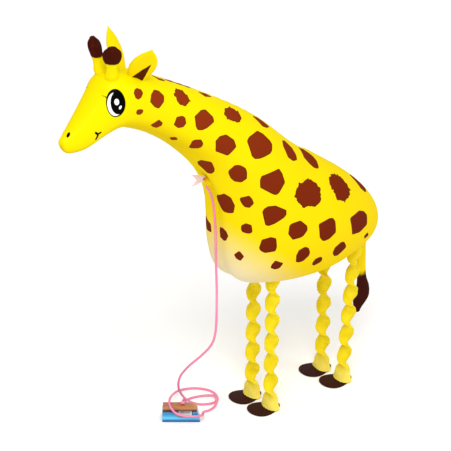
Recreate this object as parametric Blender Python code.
"""Giraffe foil balloon: a gas-filled walking pet on twisted paper legs, with its ribbon and weight.

Metres, +Z up. The giraffe looks along -X and its left side is towards -Y. The figure is built
about the middle of its four feet, on the floor at Z = 0, and an empty then carries it all along X
and Y, so that the origin is under the middle of the animal's own box.
"""

import math

import bmesh
import bpy
from mathutils import Vector

# Gap kept between pieces that touch.
CLEARANCE = 0.0003

# Foil envelope. BELLY_HEIGHT is the floor to the lowest point of the belly.
BALLOON_LENGTH = 0.786
BELLY_HEIGHT = 0.257
BALLOON_SIDES = 28
BALLOON_RINGS = 46

# Sections of the envelope from snout to rump: middle x and z, lean of the section's top edge
# towards the tail in degrees, half height, half width, and the depth of the valley along the
# gusset seam below. They are drawn at a size of their own and are carried to the two sizes above.
SECTIONS = (
    (-0.5690, 0.7210, -15, 0.0000, 0.0000, 0.0000),
    (-0.5655, 0.7160, -16, 0.0130, 0.0100, 0.0000),
    (-0.5534, 0.7164, -18, 0.0213, 0.0163, 0.0000),
    (-0.5275, 0.7261, -22, 0.0317, 0.0270, 0.0000),
    (-0.4973, 0.7458, -24, 0.0400, 0.0359, 0.0000),
    (-0.4699, 0.7634, -25, 0.0502, 0.0437, 0.0000),
    (-0.4498, 0.7753, -19, 0.0603, 0.0515, 0.0000),
    (-0.4286, 0.7766, -8, 0.0629, 0.0549, 0.0000),
    (-0.3956, 0.7648, 10, 0.0579, 0.0522, 0.0000),
    (-0.3450, 0.7373, 27, 0.0547, 0.0504, 0.0000),
    (-0.2885, 0.7013, 37, 0.0577, 0.0526, 0.0010),
    (-0.2330, 0.6614, 42, 0.0635, 0.0598, 0.0032),
    (-0.1825, 0.6205, 49, 0.0718, 0.0667, 0.0039),
    (-0.1404, 0.5786, 55, 0.0816, 0.0781, 0.0052),
    (-0.1096, 0.5348, 57, 0.0933, 0.0856, 0.0062),
    (-0.0889, 0.4904, 55, 0.1115, 0.0958, 0.0055),
    (-0.0729, 0.4452, 49, 0.1343, 0.1043, 0.0055),
    (-0.0499, 0.4117, 43, 0.1476, 0.1132, 0.0047),
    (-0.0038, 0.3891, 34, 0.1373, 0.1174, 0.0020),
    (0.0463, 0.3733, 25, 0.1225, 0.1133, 0.0024),
    (0.0951, 0.3593, 18, 0.1071, 0.1012, 0.0010),
    (0.1418, 0.3484, 13, 0.0866, 0.0843, 0.0000),
    (0.1796, 0.3366, 11, 0.0648, 0.0639, 0.0000),
    (0.2050, 0.3266, 11, 0.0426, 0.0427, 0.0000),
    (0.2163, 0.3193, 11, 0.0193, 0.0194, 0.0000),
    (0.2170, 0.3140, 11, 0.0000, 0.0000, 0.0000),
)
DRAWN_LENGTH = SECTIONS[-1][0] - SECTIONS[0][0]
DRAWN_BELLY = min(z - half * math.cos(math.radians(lean)) for _, z, lean, half, _, _ in SECTIONS[1:])

# The gusset seam below: how far round the envelope its valley and the lobe beside it reach, in
# radians, where the lobe stands, and its height as a share of the valley's depth.
VALLEY_REACH = 0.16
LOBE_REACH = 0.28
LOBE_PLACE = 0.40
LOBE_HEIGHT = 0.9

# Horns: length shown above the crown, stem, width and thickness of the knob, how far the pair
# stands apart at the root, and how far each one leans forward and out for each metre up.
HORN_LENGTH = 0.068
HORN_STEM = 0.023
HORN_KNOB = 0.036
HORN_KNOB_THICKNESS = 0.025
HORN_SPACING = 0.033
HORN_PLACE = (-0.456, 0.837)
HORN_FORWARD = 0.13
HORN_SPLAY = 0.21
HORN_TURN = 40

# Ears: length shown, width and thickness of the leaf, how far the pair stands apart at the root,
# and how far each one leans out for each metre up. Both lean back by EAR_BACK for each metre up,
# the left one less than the right one by twice EAR_LEAN.
EAR_LENGTH = 0.085
EAR_WIDTH = 0.053
EAR_THICKNESS = 0.020
EAR_SPACING = 0.050
EAR_PLACE = (-0.402, 0.820)
EAR_SPLAY = 0.62
EAR_LEAN = 0.04
EAR_BACK = 0.06

# Tail strip and the tuft at its tip.
TAIL_LENGTH = 0.193
TAIL_WIDTH = 0.022
TUFT_WIDTH = 0.035
TAIL_THICKNESS = 0.007
TAIL_PLACE = (0.198, 0.303)

# Gathered end of the filling valve: two points that fan out from the knot.
TAB_LENGTH = 0.040
TAB_SPREAD = 0.024
TAB_THICKNESS = 0.004
TAB_PLACE = (-0.209, 0.535)

# Twisted paper legs and the skirt at their foot. The strip starts at FIRST_TURN degrees, its lobes
# rise by SLANT towards the way that SLANT_WAY gives in degrees, and LINGER makes each lobe lie
# flatter, with a quicker turn at the neck that follows it.
STRIP_WIDTH = 0.030
STRIP_THICKNESS = 0.011
HALF_TWIST = 0.0445
FIRST_TURN = 50
SLANT = 0.40
SLANT_WAY = -77
LINGER = 0.4
LOWEST_NECK = 0.034
SKIRT_LENGTH = 0.026
SKIRT_WIDTH = 0.046

# Card feet, and where the legs stand on them. FOOT_SHIFTS moves each one from an even stance.
FOOT_LENGTH = 0.070
FOOT_WIDTH = 0.058
FOOT_THICKNESS = 0.0025
FOOT_TURN = 8
HEEL_TO_LEG = 0.021
FRONT_TO_REAR = 0.178
LEFT_TO_RIGHT = 0.058
FRONT_PLACE = -0.073
FOOT_SHIFTS = {
    "front_left": (-0.006, -0.015),
    "front_right": (-0.0015, -0.010),
    "rear_left": (0.005, -0.018),
    "rear_right": (0.005, -0.013),
}

# Where each leg meets the belly, in the places of SECTIONS. Each ends inside the envelope here.
BELLY_PLACES = {
    "front_left": (-0.068, -0.038, 0.320),
    "front_right": (-0.066, 0.022, 0.320),
    "rear_left": (0.142, -0.049, 0.320),
    "rear_right": (0.120, 0.018, 0.320),
}

# Flat curling ribbon, and the knot that ends it on top of the handle.
RIBBON_WIDTH = 0.005
KNOT_HEIGHT = 0.007
KNOT_WIDTH = 0.0091
KNOT_PLACE = 0.041

# Weight: moulded base with a slot in its top, and the handle band over the slot.
WEIGHT_LENGTH = 0.076
WEIGHT_DEPTH = 0.032
BASE_HEIGHT = 0.0215
END_SLANT = 0.006
SLOT_LENGTH = 0.024
SLOT_HEIGHT = 0.0075
SLOT_START = 0.034
SLOT_SLANT = 0.003
HANDLE_DEPTH = 0.020
HANDLE_HEIGHT = 0.0105
HANDLE_NOSE = 0.003
HANDLE_CURVE = 0.023
HANDLE_INSET = 0.001
WEIGHT_MIDDLE = (-0.247, 0.034)
WEIGHT_TURN = -40

# Middle line of the ribbon, from the knot on the chest to the knot on the handle.
RIBBON_ROUTE = (
    (-0.2110, 0.0000, 0.5190),
    (-0.2050, 0.0000, 0.5120),
    (-0.1965, 0.0000, 0.4950),
    (-0.1900, -0.0010, 0.4600),
    (-0.1865, -0.0010, 0.4100),
    (-0.1855, -0.0010, 0.3500),
    (-0.1830, -0.0005, 0.2900),
    (-0.1830, 0.0000, 0.2250),
    (-0.1845, 0.0025, 0.1830),
    (-0.1890, 0.0100, 0.1560),
    (-0.2010, 0.0260, 0.1300),
    (-0.2160, 0.0470, 0.1030),
    (-0.2240, 0.0640, 0.0760),
    (-0.2230, 0.0720, 0.0500),
    (-0.2150, 0.0730, 0.0290),
    (-0.2030, 0.0680, 0.0120),
    (-0.1910, 0.0590, 0.0045),
    (-0.1790, 0.0470, 0.0029),
    (-0.1610, 0.0390, 0.0029),
    (-0.1450, 0.0430, 0.0029),
    (-0.1340, 0.0600, 0.0029),
    (-0.1310, 0.0780, 0.0029),
    (-0.1355, 0.0936, 0.0029),
    (-0.1467, 0.1086, 0.0029),
    (-0.1640, 0.1180, 0.0038),
    (-0.1893, 0.1133, 0.0100),
    (-0.2150, 0.0957, 0.0200),
    (-0.2364, 0.0769, 0.0300),
    (-0.2575, 0.0575, 0.0375),
    (-0.2715, 0.0410, 0.0370),
    (-0.2715, 0.0290, 0.0275),
    (-0.2640, 0.0215, 0.0199),
    (-0.2523, 0.0118, 0.0165),
    (-0.2375, -0.0022, 0.0165),
    (-0.2250, -0.0052, 0.0160),
    (-0.2169, 0.0022, 0.0125),
    (-0.2076, 0.0140, 0.0060),
    (-0.1981, 0.0215, 0.0034),
    (-0.1850, 0.0200, 0.0029),
    (-0.1680, 0.0240, 0.0045),
    (-0.1530, 0.0360, 0.0085),
    (-0.1460, 0.0520, 0.0085),
    (-0.1500, 0.0680, 0.0045),
    (-0.1650, 0.0790, 0.0029),
    (-0.1850, 0.0830, 0.0029),
    (-0.2040, 0.0790, 0.0029),
    (-0.2170, 0.0680, 0.0050),
    (-0.2270, 0.0560, 0.0180),
    (-0.2310, 0.0460, 0.0320),
    (-0.2405, 0.0370, 0.0395),
)


def finish(name, base_color, roughness):
    """A Principled material; base_color is linear."""
    material = bpy.data.materials.new(name)
    material.use_nodes = True
    shader = material.node_tree.nodes["Principled BSDF"]
    shader.inputs["Base Color"].default_value = (*base_color, 1.0)
    shader.inputs["Roughness"].default_value = roughness
    shader.inputs["Metallic"].default_value = 0.0
    return material


def as_object(name, bm, material):
    """Turns a bmesh into a named object with its faces pointing out."""
    bmesh.ops.recalc_face_normals(bm, faces=bm.faces)
    if bm.calc_volume(signed=True) < 0.0:
        bmesh.ops.reverse_faces(bm, faces=bm.faces)
    mesh = bpy.data.meshes.new(name)
    bm.to_mesh(mesh)
    bm.free()
    mesh.shade_smooth()
    mesh.set_sharp_from_angle(angle=math.radians(40))
    mesh.materials.append(material)
    obj = bpy.data.objects.new(name, mesh)
    bpy.context.scene.collection.objects.link(obj)
    return obj


def moulded(name, section_at, around, along, material):
    """A closed body through sections: section_at(share) gives a middle and two half-axis vectors.

    It starts as a sphere. Its rings are carried to the sections and its poles close the ends.
    """
    bm = bmesh.new()
    bmesh.ops.create_uvsphere(bm, u_segments=around, v_segments=along, radius=1.0)
    for vert in bm.verts:
        ring = round(math.acos(max(-1.0, min(1.0, vert.co.z))) / math.pi * along)
        middle, side, top = section_at(min(1.0, max(0.0, (ring - 1) / (along - 2))))
        angle = math.atan2(vert.co.y, vert.co.x)
        reach = 0.0 if ring in (0, along) else 1.0
        vert.co = middle + reach * (side * math.cos(angle) + top * math.sin(angle))
    return as_object(name, bm, material)


def slab(name, outline, thickness, to_world, material):
    """A flat plate: a closed outline raised by its thickness, then placed by to_world(x, y, z)."""
    bm = bmesh.new()
    face = bm.faces.new([bm.verts.new((x, y, 0.0)) for x, y in outline])
    raised = bmesh.ops.extrude_face_region(bm, geom=[face])
    for item in raised["geom"]:
        if isinstance(item, bmesh.types.BMVert):
            item.co.z = thickness
    for vert in bm.verts:
        vert.co = to_world(*vert.co)
    return as_object(name, bm, material)


def smooth_row(rows, share):
    """The row at a share of the way through a table, on a Catmull-Rom curve through its rows."""
    at = share * (len(rows) - 1)
    first = min(int(at), len(rows) - 2)
    t = at - first
    before, start, end, after = (
        rows[max(0, min(len(rows) - 1, first + step))] for step in (-1, 0, 1, 2)
    )
    return [
        0.5
        * (
            2 * b
            + (c - a) * t
            + (2 * a - 5 * b + 4 * c - d) * t * t
            + (3 * b - a - 3 * c + d) * t * t * t
        )
        for a, b, c, d in zip(before, start, end, after)
    ]


def drawn(x, y, z):
    """A point given in the drawn balloon's own places, at the balloon's real size and height."""
    scale = BALLOON_LENGTH / DRAWN_LENGTH
    return Vector((x * scale, y * scale, BELLY_HEIGHT + (z - DRAWN_BELLY) * scale))


def balloon_point(share, angle, grow=0.0):
    """A point of the envelope's skin. Angle 0 is the ridge of the back, pi the underside."""
    x, z, lean, half_height, half_width, valley = smooth_row(SECTIONS, share)
    off_seam = math.pi - abs(angle)
    lobe = LOBE_HEIGHT * math.exp(-(((off_seam - LOBE_PLACE) / LOBE_REACH) ** 2))
    fold = valley * (math.exp(-((off_seam / VALLEY_REACH) ** 2)) - lobe)
    up = (half_height - fold) * math.cos(angle)
    side = half_width * math.sin(angle)
    size = math.hypot(up, side)
    wider = 1.0 + grow / size if size > 0.0 else 0.0
    lean = math.radians(lean)
    along = up * wider
    return drawn(x + along * math.sin(lean), side * wider, z + along * math.cos(lean))


def make_balloon(name, material, grow=0.0):
    """The sealed envelope; grown, it is the tool that shapes what is sealed to it."""
    bm = bmesh.new()
    bmesh.ops.create_uvsphere(
        bm, u_segments=BALLOON_SIDES, v_segments=BALLOON_RINGS, radius=1.0
    )
    for vert in bm.verts:
        share = math.acos(max(-1.0, min(1.0, vert.co.z))) / math.pi
        vert.co = balloon_point(share, math.atan2(vert.co.y, vert.co.x), grow)
    return as_object(name, bm, material)


def seat_on(obj, tool):
    """Cuts the grown envelope out of a piece that is sealed or taped to it."""
    cut = obj.modifiers.new("seat on the envelope", "BOOLEAN")
    cut.operation = "DIFFERENCE"
    cut.object = tool


def make_horn(name, side, material, tool):
    """A stem that swells into a flattened knob, on the crown. Side is -1 for left, 1 for right."""
    buried = HORN_LENGTH * 0.3
    x, z = HORN_PLACE
    skin = drawn(x, side * HORN_SPACING / 2, z)
    way = Vector((-HORN_FORWARD, side * HORN_SPLAY, 1.0)).normalized()
    root = skin - way * buried
    length = HORN_LENGTH + buried
    turn = math.radians(side * HORN_TURN)
    wide = Vector((math.cos(turn), math.sin(turn), 0))
    thin = Vector((-math.sin(turn), math.cos(turn), 0))
    # Each row is the share of the stem and of the knob that the section has.
    shape = (
        (1.0, 0.0),
        (1.0, 0.0),
        (1.0, 0.0),
        (0.9, 0.05),
        (0.45, 0.5),
        (0.0, 0.97),
        (0.0, 1.0),
        (0.0, 0.80),
        (0.0, 0.25),
    )

    def section_at(share):
        stem, knob = smooth_row(shape, share)
        half_wide = (stem * HORN_STEM + knob * HORN_KNOB) / 2
        half_thin = (stem * HORN_STEM + knob * HORN_KNOB_THICKNESS) / 2
        return root + way * length * share, wide * half_wide, thin * half_thin

    horn = moulded(name, section_at, 14, 14, material)
    seat_on(horn, tool)
    return horn


def make_ear(name, side, material, tool):
    """A puffed leaf behind the horn, sealed to the head along its root."""
    buried = EAR_LENGTH * 0.16
    x, z = EAR_PLACE
    skin = drawn(x, side * EAR_SPACING / 2, z)
    way = Vector((EAR_BACK + side * EAR_LEAN, side * EAR_SPLAY, 1.0)).normalized()
    root = skin - way * buried
    length = EAR_LENGTH + buried
    face = Vector((-0.35, side, 0.30))
    face = (face - way * face.dot(way)).normalized()
    across = way.cross(face)
    # Each row is the section's width and thickness as shares of the leaf's.
    shape = (
        (0.60, 0.80),
        (0.74, 0.95),
        (0.92, 1.00),
        (1.00, 1.00),
        (0.96, 0.92),
        (0.80, 0.70),
        (0.50, 0.42),
        (0.10, 0.08),
    )

    def section_at(share):
        wide, thick = smooth_row(shape, share)
        middle = root + way * length * share
        return middle, across * wide * EAR_WIDTH / 2, face * thick * EAR_THICKNESS / 2

    ear = moulded(name, section_at, 16, 14, material)
    seat_on(ear, tool)
    return ear


def make_tail(name, material, tool):
    """A flat strip that hangs from the rump and ends in a leaf-shaped tuft."""
    x, z = TAIL_PLACE
    top = drawn(x, 0.0, z)
    # Each row is the share of the strip and of the tuft that the section has, and how far it
    # swings to the rear as a share of the length.
    shape = (
        (1.0, 0.00, 0.00),
        (1.0, 0.00, 0.01),
        (1.0, 0.00, 0.01),
        (1.0, 0.00, 0.01),
        (1.0, 0.00, 0.01),
        (0.7, 0.20, 0.02),
        (0.0, 0.88, 0.045),
        (0.0, 1.00, 0.020),
        (0.0, 0.25, -0.035),
    )

    def section_at(share):
        strip, tuft, swing = smooth_row(shape, share)
        half = (strip * TAIL_WIDTH + tuft * TUFT_WIDTH) / 2
        middle = top + Vector((swing, 0.0, -share)) * TAIL_LENGTH
        return middle, Vector((half, 0, 0)), Vector((0, TAIL_THICKNESS / 2, 0))

    tail = moulded(name, section_at, 12, 18, material)
    seat_on(tail, tool)
    return tail


def make_filling_tab(name, material, tool):
    """The gathered valve end: narrow at the knot on the chest, with two points fanned out."""
    x, z = TAB_PLACE
    knot = drawn(x, 0.0, z)
    forward = Vector((-0.98, 0.0, 0.20))
    raised = Vector((0.20, 0.0, 0.98))
    buried = TAB_LENGTH * 0.3
    half = TAB_SPREAD / 2
    outline = (
        (-buried, -0.25 * half),
        (0.30 * TAB_LENGTH, -0.45 * half),
        (0.86 * TAB_LENGTH, -half),
        (0.62 * TAB_LENGTH, 0.0),
        (TAB_LENGTH, half),
        (0.34 * TAB_LENGTH, 0.75 * half),
        (-buried, 0.25 * half),
    )

    def to_world(x, y, z):
        return knot + forward * x + raised * y + Vector((0, z - TAB_THICKNESS / 2, 0))

    tab = slab(name, outline, TAB_THICKNESS, to_world, material)
    seat_on(tab, tool)
    return tab


def stand_of(place):
    """Where a leg stands on the floor."""
    x = FRONT_PLACE + (FRONT_TO_REAR if "rear" in place else 0.0)
    y = LEFT_TO_RIGHT / 2 if "right" in place else -LEFT_TO_RIGHT / 2
    shift_x, shift_y = FOOT_SHIFTS[place]
    return x + shift_x, y + shift_y


def make_leg(name, stand, belly, material, tool):
    """A strip twisted about the line from heel to belly, opened at the bottom into a skirt."""
    bottom = Vector((*stand, FOOT_THICKNESS + CLEARANCE))
    heel = math.radians(-FOOT_TURN)
    backward = Vector((math.cos(heel), math.sin(heel), 0))
    sideways = Vector((-math.sin(heel), math.cos(heel), 0))
    rising = Vector((math.cos(math.radians(SLANT_WAY)), math.sin(math.radians(SLANT_WAY)), 0))

    def section_at(share):
        middle = bottom.lerp(belly, share)
        lobes = (middle.z - LOWEST_NECK) / HALF_TWIST
        lag = LINGER / 2 * math.sin(2 * math.pi * lobes)
        turn = math.radians(FIRST_TURN) - math.pi * lobes - lag
        wide = Vector((math.cos(turn), math.sin(turn), 0)) * STRIP_WIDTH / 2
        thin = Vector((-math.sin(turn), math.cos(turn), 0)) * STRIP_THICKNESS / 2
        wide.z = SLANT * wide.dot(rising)
        thin.z = SLANT * thin.dot(rising)
        opened = math.sqrt(max(0.0, 1.0 - (middle.z - bottom.z) / (LOWEST_NECK - bottom.z)))
        wide = wide.lerp(sideways * SKIRT_WIDTH / 2, opened)
        thin = thin.lerp(-backward * SKIRT_LENGTH / 2, opened)
        return middle, wide, thin

    leg = moulded(name, section_at, 10, 44, material)
    seat_on(leg, tool)
    return leg


def make_foot(name, stand, material):
    """An egg-shaped card: round at the toe, narrow at the heel under the leg."""
    toe = math.radians(180 - FOOT_TURN)
    forward = Vector((math.cos(toe), math.sin(toe), 0))
    sideways = Vector((-math.sin(toe), math.cos(toe), 0))
    middle = Vector((*stand, 0)) + forward * (FOOT_LENGTH / 2 - HEEL_TO_LEG)
    steps = [2 * math.pi * step / 28 for step in range(28)]
    swell = [math.sin(a) * (1.0 + 0.38 * math.cos(a)) for a in steps]
    outline = [
        (math.cos(a) * FOOT_LENGTH / 2, s / max(swell) * FOOT_WIDTH / 2)
        for a, s in zip(steps, swell)
    ]

    def to_world(x, y, z):
        return middle + forward * x + sideways * y + Vector((0, 0, z))

    return slab(name, outline, FOOT_THICKNESS, to_world, material)


def weight_place(x, y, z):
    """A point of the weight: x along it from its square end, y up, z back from its front face."""
    turn = math.radians(WEIGHT_TURN)
    along, back = x - WEIGHT_LENGTH / 2, z - WEIGHT_DEPTH / 2
    return Vector(
        (
            WEIGHT_MIDDLE[0] + along * math.cos(turn) - back * math.sin(turn),
            WEIGHT_MIDDLE[1] + along * math.sin(turn) + back * math.cos(turn),
            y,
        )
    )


def make_weight(base_material, handle_material):
    """The base, with a slot sunk in its top, and the handle band that closes the slot above."""
    slot_end = SLOT_START + SLOT_LENGTH
    floor_of_slot = BASE_HEIGHT - SLOT_HEIGHT
    end_of_top = WEIGHT_LENGTH - END_SLANT
    base_outline = (
        (0.0, 0.0),
        (WEIGHT_LENGTH, 0.0),
        (end_of_top, BASE_HEIGHT),
        (slot_end, BASE_HEIGHT),
        (slot_end - SLOT_SLANT, floor_of_slot),
        (SLOT_START, floor_of_slot),
        (SLOT_START, BASE_HEIGHT),
        (0.0, BASE_HEIGHT),
    )
    slab("weight_base", base_outline, WEIGHT_DEPTH, weight_place, base_material)
    low, high = BASE_HEIGHT + CLEARANCE, BASE_HEIGHT + CLEARANCE + HANDLE_HEIGHT
    rise = HANDLE_HEIGHT - HANDLE_NOSE
    handle_outline = [(HANDLE_INSET, low), (end_of_top, low)]
    for step in range(6):
        a = math.radians(90 * step / 5)
        x = end_of_top - HANDLE_CURVE * (1 - math.cos(a))
        handle_outline.append((x, low + HANDLE_NOSE + rise * math.sin(a)))
    handle_outline.append((HANDLE_INSET, high))
    inset = (WEIGHT_DEPTH - HANDLE_DEPTH) / 2

    def handle_place(x, y, z):
        return weight_place(x, y, z + inset)

    slab("weight_handle", handle_outline, HANDLE_DEPTH, handle_place, handle_material)


def make_knot(name, material):
    """The small knot on top of the handle, where the ribbon ends."""
    top = BASE_HEIGHT + CLEARANCE + HANDLE_HEIGHT
    height = top + CLEARANCE + KNOT_HEIGHT / 2
    middle = weight_place(KNOT_PLACE, height, WEIGHT_DEPTH / 2)

    def section_at(share):
        angle = math.pi * (0.06 + 0.88 * share)
        radius = KNOT_WIDTH / 2 * math.sin(angle)
        lift = Vector((0, 0, -KNOT_HEIGHT / 2 * math.cos(angle)))
        return middle + lift, Vector((radius, 0, 0)), Vector((0, radius, 0))

    return moulded(name, section_at, 10, 8, material)


def make_ribbon(name, material):
    """A round-section stand-in for the free ribbon, on a smooth curve through its route."""
    points = 78
    curve = bpy.data.curves.new(name, "CURVE")
    curve.dimensions = "3D"
    curve.bevel_depth = RIBBON_WIDTH / 2
    curve.bevel_resolution = 2
    curve.use_fill_caps = True
    spline = curve.splines.new("POLY")
    spline.points.add(points - 1)
    for step, point in enumerate(spline.points):
        point.co = (*smooth_row(RIBBON_ROUTE, step / (points - 1)), 1.0)
    curve.materials.append(material)
    obj = bpy.data.objects.new(name, curve)
    bpy.context.scene.collection.objects.link(obj)
    return obj


def centre_figure(cord_nodes, tool):
    """Puts everything under one empty and moves that, so that the origin is below the animal."""
    bpy.context.view_layer.update()
    graph = bpy.context.evaluated_depsgraph_get()
    low, high = Vector((9, 9, 9)), Vector((-9, -9, -9))
    pieces = [obj for obj in bpy.data.objects if obj is not tool]
    for obj in pieces:
        if obj.name in cord_nodes:
            continue
        for corner in obj.evaluated_get(graph).bound_box:
            low = Vector(map(min, low, corner))
            high = Vector(map(max, high, corner))
    figure = bpy.data.objects.new("figure", None)
    bpy.context.scene.collection.objects.link(figure)
    figure.location = (-(low.x + high.x) / 2, -(low.y + high.y) / 2, 0.0)
    for obj in [*pieces, tool]:
        obj.parent = figure


def main():
    for old in list(bpy.data.objects):
        bpy.data.objects.remove(old)
    foil = finish("printed foil", (0.93, 0.74, 0.01), 0.25)
    paper = finish("crepe paper", (0.91, 0.70, 0.03), 0.85)
    card = finish("foot card", (0.035, 0.008, 0.005), 0.6)
    ribbon = finish("curling ribbon", (0.86, 0.30, 0.45), 0.35)
    plastic = finish("moulded weight", (0.03, 0.27, 0.59), 0.2)
    band = finish("wood-brown band", (0.45, 0.19, 0.04), 0.35)

    tool = make_balloon("envelope_tool", foil, CLEARANCE)
    tool.hide_render = True
    tool.display_type = "WIRE"
    make_balloon("balloon", foil)
    make_horn("horn_left", -1, foil, tool)
    make_horn("horn_right", 1, foil, tool)
    make_ear("ear_left", -1, foil, tool)
    make_ear("ear_right", 1, foil, tool)
    make_tail("tail", foil, tool)
    make_filling_tab("filling_tab", ribbon, tool)
    for place, belly in BELLY_PLACES.items():
        stand = stand_of(place)
        make_leg("leg_" + place, stand, drawn(*belly), paper, tool)
        make_foot("foot_" + place, stand, card)
    make_weight(plastic, band)
    make_knot("ribbon_knot", ribbon)
    make_ribbon("ribbon", ribbon)
    centre_figure(("ribbon", "ribbon_knot", "weight_base", "weight_handle"), tool)


main()
